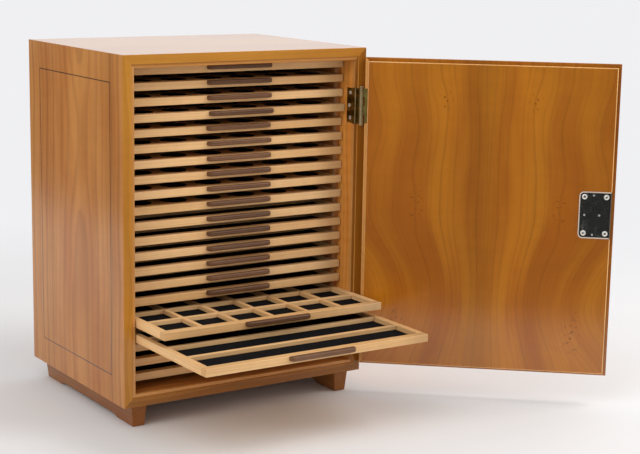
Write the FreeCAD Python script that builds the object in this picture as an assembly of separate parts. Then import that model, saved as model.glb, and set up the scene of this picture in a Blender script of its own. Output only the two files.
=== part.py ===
import FreeCAD, Part
import math
import os

# Collector's cabinet: a mitred wooden carcass on two skids, a lipped door on cranked hinges
# and a stack of shallow trays on guide strips. Lengths are in millimetres.
# The carcass is built with its front lower left corner at zero, its front in the plane y = 0,
# and everything is moved at the end so that the origin is under the middle of the whole.

# Carcass
carcass_width = 356.0
carcass_depth = 282.0
carcass_height = 440.0
board = 16.2

# Seat bead, the paler strip that the door closes on
bead_width = 4.4
bead_depth = 6.0
bead_setback = 1.4

# Back panel, let into a rebate
back_thickness = 12.0
back_rebate_width = 8.0

# Dark inlaid line on both sides
stringing_inset = 35.0
stringing_width = 1.3
stringing_depth = 0.8

# Skids
skid_height = 28.8
skid_top_width = 22.0
skid_lean = 3.0
skid_side_inset = 13.5
skid_front_inset = 8.5
skid_end_lean = 2.0
foot_length = 44.0
foot_step_run = 10.0
foot_step_rise = 3.4

# Trays
tray_count = 21
tray_height = 9.9
tray_side_clearance = 1.5
tray_setback = 27.2
top_tray_gap = 1.4
lowest_guide_height = 8.3
front_rail = 11.5
back_rail = 11.5
side_rail = 8.5
tray_base = 1.6
felt = 2.3
divider = 6.0
divider_drop = 0.3
row_count = 4
column_count = 6

# How far the trays stand out of line at rest
tray_4_out = 5.2
tray_5_in = 1.6
tray_17_out = 99.5
tray_18_kept_in = 16.2

# Pulls on the trays
pull_length = 94.0
pull_height = 5.8
pull_reach = 7.5
pull_top_gap = 0.2
pull_end_radius = 5.5
pull_edge_radius = 1.6

# Guide strips and the stops behind the trays
guide_width = 8.2
guide_setback = 8.8
guide_clearance = 0.2
stop_width = 20.0
stop_depth = 23.0
stop_inset = 30.0
stop_clearance = 2.0

# Door: an outer lip over the bead and a plug that enters the opening
lip_thickness = 8.6
plug_thickness = 10.6
lip_side_gap = 0.3
plug_side_gap = 0.4
lip_seat_gap = 0.2
lip_arris = 1.2
plug_chamfer = 1.0
door_open_angle = 138.88

# Hinges
hinge_length = 46.3
hinge_inset = 53.7
hinge_axis_inset = 7.2
hinge_axis_forward = 1.2
hinge_plate = 1.2
knuckle_radius = 2.6
knuckle_count = 4
knuckle_gap = 0.2
crank_relief = 3.0
flange_relief = 4.6
knuckle_room = 0.3
pin_radius = 1.25
pin_clearance = 0.05
pin_head = 3.2
wall_leaf_depth = 18.9
door_leaf_end_gap = 1.2

# Hinge screws
hinge_screw_head = 2.5
hinge_screw_shank = 1.1
hinge_screw_length = 8.0
hinge_screw_dome = 0.3
hinge_screw_taper = 1.0
screw_fit = 0.05
hinge_screw_height_shares = (0.145, 0.5, 0.865)
wall_screw_row = 11.6
wall_screw_stagger = 1.9
door_screw_row = 4.6
door_screw_stagger = 1.4

# Lock
lock_width = 42.0
lock_height = 62.0
lock_centre_share = 0.5255
lock_depth = 9.6
lock_proud = 0.7
lock_rim = 1.4
lock_wall = 1.3
lock_back = 1.2
lock_cover = 1.2
lock_rim_rise = 0.6
lock_corner_radius = 6.0
lock_fit = 0.1
lock_screw_inset = 6.9
lock_screw_head = 3.6
lock_screw_shank = 1.5
lock_screw_length = 13.5
lock_screw_dome = 1.3
rivet_radius = 1.4
rivet_height = 0.5
rivet_inset = 15.3
rivet_first = 7.4
rivet_second = 26.7
rivet_edge = 3.4

# Bolt and key
bolt_height = 20.0
bolt_thickness = 4.0
bolt_length = 24.0
bolt_clearance = 0.3
bolt_setback = 0.2
bolt_throw = 6.0
bolt_mortise_spare = 1.5
key_inset = 19.0
key_post_radius = 1.3
key_hole_radius = 2.6
key_slot_width = 2.4
key_slot_length = 8.0

# Small turned pieces such as screws and rivets are drawn with this many flats
small_round_flats = 12
screw_crown_share = 0.62

# Length by which a cutting shape passes the face that it opens
overrun = 1.0

# How near an edge's middle has to be to a place for the edge to be picked there
pick_reach = 0.08

# Worked out from the sizes above
flat = board - bead_width
inner_left = board
inner_right = carcass_width - board
inner_width = carcass_width - board - board
inner_height = carcass_height - board - board
bead_back = bead_setback + bead_depth
back_face = carcass_depth - back_thickness
stop_front = back_face - stop_depth
tray_depth = stop_front - stop_clearance - tray_setback
tray_18_out = tray_depth - tray_18_kept_in
tray_width = inner_width - tray_side_clearance - tray_side_clearance
tray_left = inner_left + tray_side_clearance
tray_spare = inner_height - top_tray_gap - lowest_guide_height - tray_height
tray_pitch = tray_spare / (tray_count - 1)
bay_depth = tray_depth - front_rail - back_rail
row_pitch = (bay_depth + divider) / row_count
bay_width = tray_width - side_rail - side_rail
column_pitch = (bay_width + divider) / column_count
door_left = flat + lip_side_gap
door_right = carcass_width - door_left
door_low = door_left
door_high = carcass_height - door_left
plug_left = inner_left + plug_side_gap
plug_right = carcass_width - plug_left
plug_low = plug_left
plug_high = carcass_height - plug_left
lip_back = bead_setback - lip_seat_gap
lip_front = lip_back - lip_thickness
plug_face = lip_back + plug_thickness
hinge_x = carcass_width - hinge_axis_inset
hinge_y = -hinge_axis_forward
hinge_bottoms = (hinge_inset, carcass_height - hinge_inset - hinge_length)
crank_back = bead_setback
crank_front = crank_back - hinge_plate
flange_front = hinge_y - hinge_plate
knuckle_step = hinge_length / knuckle_count
lock_z = carcass_height * lock_centre_share
lock_low = lock_z - lock_height / 2
lock_high = lock_z + lock_height / 2
lock_right = plug_left + lock_width
lock_floor = plug_face - lock_depth
lock_top = plug_face + lock_proud
cover_back = lock_top - lock_rim_rise - lock_cover
bolt_y = (lock_floor + lock_back + cover_back) / 2
key_x = plug_left + key_inset

across = FreeCAD.Vector(1, 0, 0)
inward = FreeCAD.Vector(0, 1, 0)
upward = FreeCAD.Vector(0, 0, 1)


def block(x0, x1, y0, y1, z0, z1):
    """A box between two corners."""
    corner = FreeCAD.Vector(x0, y0, z0)
    return Part.makeBox(x1 - x0, y1 - y0, z1 - z0, corner)


def prism(points, travel):
    """A closed outline swept straight along travel."""
    corners = [FreeCAD.Vector(*p) for p in points]
    outline = Part.makePolygon(corners + corners[:1])
    return Part.Face(outline).extrude(travel)


def rod(radius, length, x, y, z, direction=upward):
    """A round bar from a point along a direction."""
    return Part.makeCylinder(radius, length, FreeCAD.Vector(x, y, z), direction)


def cut_all(shape, tools):
    """The shape with every tool taken out of it."""
    for tool in tools:
        shape = shape.cut(tool)
    return shape


def edges_at(shape, test):
    """The edges of a shape whose middle passes a test."""
    return [e for e in shape.Edges if test(e.CenterOfMass)]


def near(value, target):
    return abs(value - target) < pick_reach


def mitred_frame(x0, x1, z0, z1, width, y0, y1):
    """Left, right, lower and upper members of a frame whose corners are mitred."""
    travel = FreeCAD.Vector(0, y1 - y0, 0)
    u0, u1, w0, w1 = x0 + width, x1 - width, z0 + width, z1 - width
    left = [(x0, y0, z0), (u0, y0, w0), (u0, y0, w1), (x0, y0, z1)]
    right = [(x1, y0, z0), (x1, y0, z1), (u1, y0, w1), (u1, y0, w0)]
    low = [(x0, y0, z0), (x1, y0, z0), (u1, y0, w0), (u0, y0, w0)]
    high = [(x0, y0, z1), (u0, y0, w1), (u1, y0, w1), (x1, y0, z1)]
    return [prism(points, travel) for points in (left, right, low, high)]


def small_round(levels):
    """A small turned piece along +Z through rings of a radius and a height, drawn with flats."""
    step = 2 * math.pi / small_round_flats
    rings = [
        [
            FreeCAD.Vector(radius * math.cos(n * step), radius * math.sin(n * step), z)
            for n in range(small_round_flats)
        ]
        for radius, z in levels
    ]
    faces = []
    for low, high in zip(rings, rings[1:]):
        for n in range(small_round_flats):
            after = (n + 1) % small_round_flats
            corners = [low[n], low[after], high[after], high[n], low[n]]
            faces.append(Part.Face(Part.makePolygon(corners)))
    for ring in (rings[0], rings[-1]):
        faces.append(Part.Face(Part.makePolygon(ring + ring[:1])))
    body = Part.Solid(Part.Shell(faces))
    if body.Volume < 0:
        body.reverse()
    return body


def screw(head, shank, length, dome, taper):
    """A raised countersunk screw along +Z, with its head's rim at zero."""
    crown = head * screw_crown_share
    return small_round([(shank, -length), (shank, -taper), (head, 0), (crown, dome)])


def aim(shape, direction, x, y, z):
    """A shape made along +Z, turned to a direction and moved to a point."""
    turned = shape.copy()
    turn = FreeCAD.Rotation(upward, direction)
    turned.Placement = FreeCAD.Placement(FreeCAD.Vector(x, y, z), turn)
    return turned


# Hinge, shared by the leaves and by the recesses that they lie in

def barrel_levels(bottom, door_side):
    """Lower and upper end of each knuckle of one leaf: the door's is the uppermost."""
    first = 1 if door_side else 0
    numbers = range(first, knuckle_count, 2)
    half_gap = knuckle_gap / 2
    return [
        (bottom + n * knuckle_step + half_gap, bottom + (n + 1) * knuckle_step - half_gap)
        for n in numbers
    ]


def knuckles(bottom, door_side, plate_front, relief):
    """The rolled knuckles of a leaf, each with its tongue of plate across the relief."""
    bore = rod(pin_radius + pin_clearance, hinge_length, hinge_x, hinge_y, bottom)
    pieces = []
    for z0, z1 in barrel_levels(bottom, door_side):
        ring = rod(knuckle_radius, z1 - z0, hinge_x, hinge_y, z0)
        tongue_start = hinge_x - relief - overrun
        tongue = block(tongue_start, hinge_x, plate_front, plate_front + hinge_plate, z0, z1)
        pieces.append(ring.fuse(tongue).cut(bore))
    return pieces


def cabinet_leaf(bottom):
    """Leaf let into the right wall, cranked over the bead to the barrel."""
    top = bottom + hinge_length
    wall = block(
        inner_right, inner_right + hinge_plate, crank_front, crank_front + wall_leaf_depth, bottom, top
    )
    crank = block(inner_right, hinge_x - crank_relief, crank_front, crank_back, bottom, top)
    leaf = wall.multiFuse([crank] + knuckles(bottom, False, crank_front, crank_relief))
    return leaf.removeSplitter()


def door_leaf(bottom):
    """Leaf let into the edge of the plug, cranked across the lip to the barrel."""
    top = bottom + hinge_length
    edge = block(
        plug_right - hinge_plate, plug_right, flange_front, plug_face - door_leaf_end_gap, bottom, top
    )
    flange = block(
        plug_right - hinge_plate,
        hinge_x - flange_relief,
        flange_front,
        flange_front + hinge_plate,
        bottom,
        top,
    )
    leaf = edge.multiFuse([flange] + knuckles(bottom, True, flange_front, flange_relief))
    return leaf.removeSplitter()


def hinge_screw_places(bottom, row, stagger):
    """Depth and height of a leaf's three screws, the middle one out of line."""
    rows = (row, row + stagger, row)
    return [(y, bottom + hinge_length * s) for y, s in zip(rows, hinge_screw_height_shares)]


def hinge_screw(spare):
    return screw(
        hinge_screw_head + spare,
        hinge_screw_shank + spare,
        hinge_screw_length + spare,
        hinge_screw_dome,
        hinge_screw_taper,
    )


def wall_screws(spare=0):
    """Screws of the leaves on the right wall, or with spare the holes for them."""
    left = FreeCAD.Vector(-1, 0, 0)
    places = [
        p for b in hinge_bottoms for p in hinge_screw_places(b, wall_screw_row, wall_screw_stagger)
    ]
    return [aim(hinge_screw(spare), left, inner_right, y, z) for y, z in places]


def door_edge_screws(spare=0):
    """Screws of the leaves on the door, in the plug's edge, or the holes for them."""
    places = [
        p for b in hinge_bottoms for p in hinge_screw_places(b, door_screw_row, door_screw_stagger)
    ]
    return [aim(hinge_screw(spare), across, plug_right, y, z) for y, z in places]


def hinge_pins():
    """Headed pins through the barrels."""
    pins = []
    for bottom in hinge_bottoms:
        shaft = rod(pin_radius, hinge_length, hinge_x, hinge_y, bottom)
        cap = rod(knuckle_radius, pin_head, hinge_x, hinge_y, bottom + hinge_length)
        foot = rod(knuckle_radius, pin_head, hinge_x, hinge_y, bottom - pin_head)
        pins.append(shaft.multiFuse([cap, foot]).removeSplitter())
    return pins


# Carcass

def hinge_recesses():
    """Room for the wall leaves and for the barrels in front of the right side."""
    tools = []
    room = knuckle_radius + knuckle_room
    for bottom in hinge_bottoms:
        z0 = bottom
        z1 = bottom + hinge_length
        leaf_end = crank_front + wall_leaf_depth
        tools.append(block(inner_right, inner_right + hinge_plate, -overrun, leaf_end, z0, z1))
        tools.append(block(inner_right, hinge_x, -overrun, crank_back, z0, z1))
        barrel_low = bottom - pin_head - knuckle_room
        barrel_high = bottom + hinge_length + pin_head + knuckle_room
        barrel_floor = hinge_y + room
        tools.append(
            block(hinge_x - room, hinge_x + room, -overrun, barrel_floor, barrel_low, barrel_high)
        )
    return tools


def bolt_mortise():
    """Slot in the left side that the bolt is thrown into."""
    depth = bolt_throw + bolt_mortise_spare + plug_side_gap
    half_height = bolt_height / 2 + bolt_clearance
    half_thickness = bolt_thickness / 2 + bolt_clearance
    return block(
        inner_left - depth,
        inner_left + overrun,
        bolt_y - half_thickness,
        bolt_y + half_thickness,
        lock_z - half_height,
        lock_z + half_height,
    )


def stringing(side_face, depth):
    """Mitred lines of one side's inlay, from its face inwards by depth."""
    lines = mitred_frame(
        stringing_inset,
        carcass_depth - stringing_inset,
        stringing_inset,
        carcass_height - stringing_inset,
        stringing_width,
        0,
        abs(depth),
    )
    turn = FreeCAD.Placement(
        FreeCAD.Vector(max(side_face, side_face + depth), 0, 0), FreeCAD.Rotation(upward, 90)
    )
    for line in lines:
        line.Placement = turn.multiply(line.Placement)
    return lines


def carcass_boards():
    """Left, right, lower and upper board with the rebates, recesses and grooves."""
    bead_rebate = block(
        flat, carcass_width - flat, -overrun, bead_back, flat, carcass_height - flat
    )
    edge = board - back_rebate_width
    back_rebate = block(
        edge,
        carcass_width - edge,
        back_face,
        carcass_depth + overrun,
        edge,
        carcass_height - edge,
    )
    boards = mitred_frame(0, carcass_width, 0, carcass_height, board, 0, carcass_depth)
    boards = [cut_all(b, [bead_rebate, back_rebate]) for b in boards]
    left, right, low, high = boards
    left = cut_all(left, [bolt_mortise()] + stringing(0, stringing_depth))
    screw_holes = wall_screws(screw_fit)
    right = cut_all(
        right, hinge_recesses() + stringing(carcass_width, -stringing_depth) + screw_holes
    )
    return left, right, low, high


def seat_bead():
    """Four mitred strips round the opening."""
    strips = mitred_frame(
        flat, carcass_width - flat, flat, carcass_height - flat, bead_width, bead_setback, bead_back
    )
    left, right, low, high = strips
    left = left.cut(bolt_mortise())
    right = cut_all(right, hinge_recesses())
    return [left, right, low, high]


def back_panel():
    edge = board - back_rebate_width
    return block(
        edge, carcass_width - edge, back_face, carcass_depth, edge, carcass_height - edge
    )


def skid(left_side):
    """One skid from front to back, leaning in at the foot and relieved between its feet."""
    x0 = skid_side_inset
    x1 = skid_side_inset + skid_top_width
    y0 = skid_front_inset
    y1 = carcass_depth - skid_front_inset
    section = [
        (x0, y0, 0),
        (x1, y0, 0),
        (x1 - skid_lean, y0, -skid_height),
        (x0 + skid_lean, y0, -skid_height),
    ]
    body = prism(section, FreeCAD.Vector(0, y1 - y0, 0))
    wide = FreeCAD.Vector(skid_top_width + overrun * 2, 0, 0)
    x_cut = x0 - overrun
    front_wedge = [
        (x_cut, y0, 0),
        (x_cut, y0 - overrun, 0),
        (x_cut, y0 - overrun, -skid_height - overrun),
        (x_cut, y0 + skid_end_lean, -skid_height - overrun),
        (x_cut, y0 + skid_end_lean, -skid_height),
    ]
    foot_end = y0 + skid_end_lean + foot_length
    relief = [
        (x_cut, foot_end, -skid_height - overrun),
        (x_cut, foot_end, -skid_height),
        (x_cut, foot_end + foot_step_run, -skid_height + foot_step_rise),
        (x_cut, carcass_depth - foot_end - foot_step_run, -skid_height + foot_step_rise),
        (x_cut, carcass_depth - foot_end, -skid_height),
        (x_cut, carcass_depth - foot_end, -skid_height - overrun),
    ]
    back_wedge = [(x, carcass_depth - y, z) for x, y, z in front_wedge]
    tools = [prism(points, wide) for points in (front_wedge, relief, back_wedge)]
    body = cut_all(body, tools)
    if left_side:
        return body
    return body.mirror(FreeCAD.Vector(carcass_width / 2, 0, 0), across)


# Guides and trays

def tray_bottom(number):
    """Height of a tray's underside, counted from the top one."""
    return carcass_height - board - top_tray_gap - tray_height - tray_pitch * (number - 1)


def guides():
    """A strip under both ends of every tray, and two stops behind them all."""
    front = tray_setback + guide_setback
    strips = []
    for number in range(1, tray_count + 1):
        top = tray_bottom(number) - guide_clearance
        low = board
        if number < tray_count:
            low = tray_bottom(number + 1) + tray_height + guide_clearance
        strips.append(block(inner_left, inner_left + guide_width, front, back_face, low, top))
        strips.append(block(inner_right - guide_width, inner_right, front, back_face, low, top))
    for x in (inner_left + stop_inset, inner_right - stop_inset - stop_width):
        strips.append(
            block(x, x + stop_width, stop_front, back_face, board, carcass_height - board)
        )
    return strips


def tray_joinery(y, z):
    """Front, back and side rails on a thin base, with a felt lining."""
    x0 = tray_left
    x1 = tray_left + tray_width
    back = y + tray_depth
    top = z + tray_height
    base_top = z + tray_base
    behind = y + front_rail
    return [
        block(x0, x1, y, behind, z, top),
        block(x0, x1, behind, back, z, base_top),
        block(x0, x1, back - back_rail, back, base_top, top),
        block(x0, x0 + side_rail, behind, back - back_rail, base_top, top),
        block(x1 - side_rail, x1, behind, back - back_rail, base_top, top),
        block(x0 + side_rail, x1 - side_rail, behind, back - back_rail, base_top, base_top + felt),
    ]


def row_dividers(y, z):
    """Long strips that part a tray into rows."""
    low = z + tray_base + felt
    high = z + tray_height - divider_drop
    x0 = tray_left + side_rail
    strips = []
    for row in range(1, row_count):
        front = y + front_rail + row * row_pitch - divider
        strips.append(block(x0, x0 + bay_width, front, front + divider, low, high))
    return strips


def column_dividers(y, z):
    """Short strips between the rows, which make square compartments."""
    low = z + tray_base + felt
    high = z + tray_height - divider_drop
    pieces = []
    for row in range(row_count):
        front = y + front_rail + row * row_pitch
        for column in range(1, column_count):
            x = tray_left + side_rail + column * column_pitch - divider
            pieces.append(block(x, x + divider, front, front + row_pitch - divider, low, high))
    return pieces


def pull(y, z):
    """A bar with rounded ends on the upper half of a tray's front."""
    middle = tray_left + tray_width / 2
    x0 = middle - pull_length / 2
    x1 = middle + pull_length / 2
    high = z + tray_height - pull_top_gap
    front = y - pull_reach
    bar = block(x0, x1, front, y, high - pull_height, high)
    ends = edges_at(bar, lambda c: near(c.y, front) and (near(c.x, x0) or near(c.x, x1)))
    rims = edges_at(bar, lambda c: near(c.y, front) and near(c.x, middle))
    return bar.makeFillet(pull_end_radius, ends).common(bar.makeFillet(pull_edge_radius, rims))


open_trays = range(1, 11)
square_trays = (17,)
tray_stands_out = {4: tray_4_out, 5: -tray_5_in, 17: tray_17_out, 18: tray_18_out}


def tray_front(number):
    """The plane of a tray's front at rest."""
    return tray_setback - tray_stands_out.get(number, 0)


def tray(number):
    """The joined wood and felt of one tray."""
    y = tray_front(number)
    z = tray_bottom(number)
    pieces = tray_joinery(y, z)
    if number in open_trays:
        return pieces
    pieces += row_dividers(y, z)
    if number in square_trays:
        pieces += column_dividers(y, z)
    return pieces


# Door, drawn closed

def lock_outline(grow, y0, y1):
    """Lock plate's outline, rounded on the side away from the door's edge."""
    box = block(
        plug_left,
        lock_right + grow,
        y0,
        y1,
        lock_low - grow,
        lock_high + grow,
    )
    corners = edges_at(
        box,
        lambda c: near(c.x, lock_right + grow)
        and (near(c.z, lock_low - grow) or near(c.z, lock_high + grow)),
    )
    return box.makeFillet(lock_corner_radius + grow, corners)


def lock_screw_places():
    xs = (plug_left + lock_screw_inset, lock_right - lock_screw_inset)
    zs = (lock_low + lock_screw_inset, lock_high - lock_screw_inset)
    return [(x, z) for x in xs for z in zs]


def lock_screws(spare):
    """Screws through the lock's corners, or with spare the holes for them."""
    shape = screw(
        lock_screw_head + spare,
        lock_screw_shank + spare,
        lock_screw_length + spare,
        lock_screw_dome,
        lock_screw_head - lock_screw_shank,
    )
    face = cover_back + lock_cover
    return [aim(shape, inward, x, face, z) for x, z in lock_screw_places()]


def lock_case():
    """Open box whose rim stands proud of the cover, with a post for the key."""
    outer = lock_outline(0, lock_floor, lock_top)
    cavity_low = lock_floor + lock_back
    inner = block(
        plug_left + lock_wall,
        lock_right - lock_rim,
        cavity_low,
        lock_top + overrun,
        lock_low + lock_rim,
        lock_high - lock_rim,
    )
    corners = edges_at(
        inner,
        lambda c: near(c.x, lock_right - lock_rim)
        and (near(c.z, lock_low + lock_rim) or near(c.z, lock_high - lock_rim)),
    )
    inner = inner.makeFillet(lock_corner_radius - lock_rim, corners)
    shell = outer.cut(inner)
    post = small_round([(key_post_radius, 0), (key_post_radius, cover_back - cavity_low)])
    shell = shell.fuse(aim(post, inward, key_x, cavity_low, lock_z))
    half_height = bolt_height / 2 + bolt_clearance
    half_thickness = bolt_thickness / 2 + bolt_clearance
    bolt_slot = block(
        plug_left - overrun,
        plug_left + lock_wall + overrun,
        bolt_y - half_thickness,
        bolt_y + half_thickness,
        lock_z - half_height,
        lock_z + half_height,
    )
    return cut_all(shell, [bolt_slot] + lock_screws(screw_fit))


def lock_cover_plate():
    """Plate inside the rim, with its rivets."""
    x0 = plug_left + lock_wall + lock_fit
    x1 = lock_right - lock_rim - lock_fit
    z0 = lock_low + lock_rim + lock_fit
    z1 = lock_high - lock_rim - lock_fit
    plate = block(x0, x1, cover_back, cover_back + lock_cover, z0, z1)
    corners = edges_at(
        plate, lambda c: near(c.x, x1) and (near(c.z, z0) or near(c.z, z1))
    )
    plate = plate.makeFillet(lock_corner_radius - lock_rim - lock_fit, corners)
    plate = cut_all(plate, lock_screws(screw_fit))
    face = cover_back + lock_cover
    places = [
        (lock_right - rivet_first, lock_z),
        (lock_right - rivet_second, lock_z),
        (lock_right - rivet_inset - rivet_edge, z1 - rivet_edge),
        (lock_right - rivet_inset - rivet_edge, z0 + rivet_edge),
    ]
    stud = small_round([(rivet_radius, 0), (rivet_radius, rivet_height)])
    rivets = [aim(stud, inward, x, face, z) for x, z in places]
    return plate.multiFuse(rivets)


def lock_bolt():
    """Bolt with a notch that the key turns in, drawn back into the case."""
    x0 = plug_left + bolt_setback
    bolt = block(
        x0,
        x0 + bolt_length,
        bolt_y - bolt_thickness / 2,
        bolt_y + bolt_thickness / 2,
        lock_z - bolt_height / 2,
        lock_z + bolt_height / 2,
    )
    half_slot = key_hole_radius + bolt_clearance
    slot_start = key_x - half_slot
    slot_end = x0 + bolt_length + overrun
    slot = block(
        slot_start,
        slot_end,
        bolt_y - bolt_thickness,
        bolt_y + bolt_thickness,
        lock_z - half_slot,
        lock_z + half_slot,
    )
    return bolt.cut(slot)


def keyhole(y0, y1):
    """Round hole with a slot below it."""
    hole = rod(key_hole_radius, y1 - y0, key_x, y0, lock_z, inward)
    half = key_slot_width / 2
    slot = block(key_x - half, key_x + half, y0, y1, lock_z - key_slot_length, lock_z)
    return hole.fuse(slot)


def door_hinge_recesses():
    """Pockets in the lip and in the plug's edge for the door leaves."""
    tools = []
    for bottom in hinge_bottoms:
        z0 = bottom
        z1 = bottom + hinge_length
        x0 = plug_right - hinge_plate
        tools.append(block(x0, door_right + overrun, flange_front, lip_back, z0, z1))
        edge_end = plug_face - door_leaf_end_gap
        tools.append(block(x0, plug_right + overrun, flange_front, edge_end, z0, z1))
    return tools


def door_panel():
    """Outer lip with rounded edges and a chamfered plug, in one board."""
    lip = block(door_left, door_right, lip_front, lip_back, door_low, door_high)
    lip = lip.makeChamfer(lip_arris, edges_at(lip, lambda c: near(c.y, lip_front)))
    plug = block(plug_left, plug_right, lip_back, plug_face, plug_low, plug_high)
    plug = plug.makeChamfer(plug_chamfer, edges_at(plug, lambda c: near(c.y, plug_face)))
    panel = lip.fuse(plug).removeSplitter()
    pocket = lock_outline(lock_fit, lock_floor, plug_face + overrun)
    edge_opening = block(
        door_left - overrun,
        plug_left,
        lip_back,
        plug_face + overrun,
        lock_low,
        lock_high,
    )
    tools = [pocket, keyhole(lip_front - overrun, lock_floor + overrun)]
    tools += door_hinge_recesses()
    tools += door_edge_screws(screw_fit)
    tools += lock_screws(screw_fit)
    return cut_all(panel, tools).cut(edge_opening)


def swing(shape):
    """A closed door's piece, turned to where the door stands open."""
    turned = shape.copy()
    turned.rotate(FreeCAD.Vector(hinge_x, hinge_y, 0), upward, door_open_angle)
    return turned


def pieces():
    """Every piece of the cabinet by name, as a list of solids."""
    left, right, low, high = carcass_boards()
    made = {
        "side_left": [left],
        "side_right": [right],
        "bottom_panel": [low],
        "top_panel": [high],
        "back_panel": [back_panel()],
        "seat_bead": seat_bead(),
        "side_stringing": stringing(0, stringing_depth) + stringing(carcass_width, -stringing_depth),
        "base_skids": [skid(True), skid(False)],
        "tray_guides": guides(),
        "hinge_cabinet_leaves": [
            cut_all(cabinet_leaf(b), wall_screws(screw_fit)) for b in hinge_bottoms
        ],
        "hinge_pins": hinge_pins(),
        "hinge_cabinet_screws": wall_screws(),
    }
    door = {
        "door_panel": [door_panel()],
        "hinge_door_leaves": [
            cut_all(door_leaf(b), door_edge_screws(screw_fit)) for b in hinge_bottoms
        ],
        "door_screws": door_edge_screws() + lock_screws(0),
        "lock_case": [lock_case()],
        "lock_cover": [lock_cover_plate()],
        "lock_bolt": [lock_bolt()],
    }
    for name, solids in door.items():
        made[name] = [swing(s) for s in solids]
    for number in range(1, tray_count + 1):
        y = tray_front(number)
        z = tray_bottom(number)
        made[f"tray_{number:02d}"] = tray(number)
        made[f"pull_{number:02d}"] = [pull(y, z)]
    return made


def under_the_middle(made):
    """The move that brings the middle of the whole's footprint to the origin."""
    whole = Part.makeCompound([s for solids in made.values() for s in solids])
    box = whole.optimalBoundingBox(False, False)
    x = (box.XMin + box.XMax) / 2
    y = (box.YMin + box.YMax) / 2
    return FreeCAD.Vector(-x, -y, skid_height)


def main():
    os.makedirs("parts", exist_ok=True)
    made = pieces()
    move = under_the_middle(made)
    print("moved by", move.x, move.y, move.z)
    for name, solids in made.items():
        flat_solids = [s for shape in solids for s in shape.Solids]
        for solid in flat_solids:
            solid.translate(move)
        shape = flat_solids[0] if len(flat_solids) == 1 else Part.makeCompound(flat_solids)
        shape.exportStep(f"parts/{name}.step")
    print(len(made), "pieces written")


main()
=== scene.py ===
import math
import random

import bmesh
import bpy
from mathutils import Matrix, Vector, noise


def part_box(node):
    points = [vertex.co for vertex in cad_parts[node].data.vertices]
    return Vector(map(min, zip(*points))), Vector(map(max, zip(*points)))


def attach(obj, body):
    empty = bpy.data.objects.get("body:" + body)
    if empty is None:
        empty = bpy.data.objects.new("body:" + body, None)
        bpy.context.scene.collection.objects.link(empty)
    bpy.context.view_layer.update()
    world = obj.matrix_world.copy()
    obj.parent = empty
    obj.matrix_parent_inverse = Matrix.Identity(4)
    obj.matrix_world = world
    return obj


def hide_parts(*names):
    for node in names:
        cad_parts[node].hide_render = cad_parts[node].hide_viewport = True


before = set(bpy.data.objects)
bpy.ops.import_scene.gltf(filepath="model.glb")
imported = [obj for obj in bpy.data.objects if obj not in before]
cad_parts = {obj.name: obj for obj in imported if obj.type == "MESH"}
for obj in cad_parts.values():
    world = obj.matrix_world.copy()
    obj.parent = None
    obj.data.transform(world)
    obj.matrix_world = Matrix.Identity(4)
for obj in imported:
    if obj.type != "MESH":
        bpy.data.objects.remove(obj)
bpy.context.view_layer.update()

# Collector's cabinet of cherry with an open lipped door and shallow maple trays.
# Shapes are drawn in millimetres from the carcass's front lower left corner, with the door
# closed, and are set in the frame as they become pieces.

MM = 0.001
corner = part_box("side_left")[0]
far_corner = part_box("side_right")[1]
width = (far_corner.x - corner.x) / MM
depth = (far_corner.y - corner.y) / MM
height = (far_corner.z - corner.z) / MM
pins_low, pins_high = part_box("hinge_pins")
hinge_axis = Vector(((pins_low.x + pins_high.x) / 2, (pins_low.y + pins_high.y) / 2, 0))
door_open_angle = 138.88
swing = (
    Matrix.Translation(hinge_axis)
    @ Matrix.Rotation(math.radians(door_open_angle), 4, "Z")
    @ Matrix.Translation(-hinge_axis)
)

# Boards and bead
board = 16.2
board_easing = 0.5
front_reach = 0.6
shortest_board_edge = 12.0
skid_easing = 0.6
bead_width = 4.4
bead_depth = 6.0
bead_setback = 1.4
bead_back_easing = 0.2
bead_round_off = 0.6
bead_steps = 4
flat = board - bead_width
stringing_inset = 35.0
stringing_spare = 3.0

# Tray guides
guide_width = 8.2
guide_easing = 0.3
guide_corner_radius = 2.8

# Trays
tray_count = 21
tray_pitch = 19.4
front_rail = 11.5
back_rail = 11.5
side_rail = 8.5
rail_easing = 0.55
tray_base = 1.6
base_easing = 0.25
divider = 6.0
divider_drop = 0.3
row_count = 4
column_count = 6
drilled_trays = range(1, 11)
square_trays = (17,)

# Felt linings: their sag, how fast it changes, and the cells of their mesh
felt_thickness = 2.3
felt_sag = 0.35
felt_wave = 0.05
felt_wave_step = 7.3
felt_columns, felt_rows = 36, 24

# Insert boards with round wells
insert_gap = 0.2
insert_drop = 0.9
well_radius = 17.0
well_depth = 4.2
well_rim = 0.5
well_foot = 0.6
well_sides = 28
well_weld = 0.01

# Pulls
pull_end_radius = 5.5
pull_end_steps = 8
pull_edge_radius = 1.7
pull_edge_steps = 5

# Door with its raised plug, closed
plug_left = 16.6
plug_right = 339.4
plug_face = 11.8
chamfer_depth = 1.2
chamfer_slopes = (0.3, 0.9)
door_easing = 0.35
shortest_door_edge = 100.0

# Lock on the closed door
lock_width = 42.0
lock_height = 62.0
lock_centre = 231.22
lock_edge_strip = 1.4
cover_face = 11.9
rivet_rise = 0.2
lock_screw_inset = 6.9
lock_screw = dict(head=3.6, dome=1.3, shank=1.5, length=13.0, recess=1.6)

# Hinges and their screws
inner_right = 339.8
hinge_bottoms = (53.7, 340.0)
hinge_length = 46.3
hinge_room = 0.8
hinge_reach = 3.0
crank_radius = 0.7
leaf_easing = 0.18
pin_easing = 0.5
knuckle_reach = 2.75
hinge_screw = dict(head=2.5, dome=0.3, shank=1.1, length=8.0, recess=0.9)
hinge_screw_shares = (0.145, 0.5, 0.865)
screw_sides, dome_steps = 36, 6
wall_screw_rows = (11.6, 13.5, 11.6)
door_screw_rows = (4.6, 6.0, 4.6)

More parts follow.
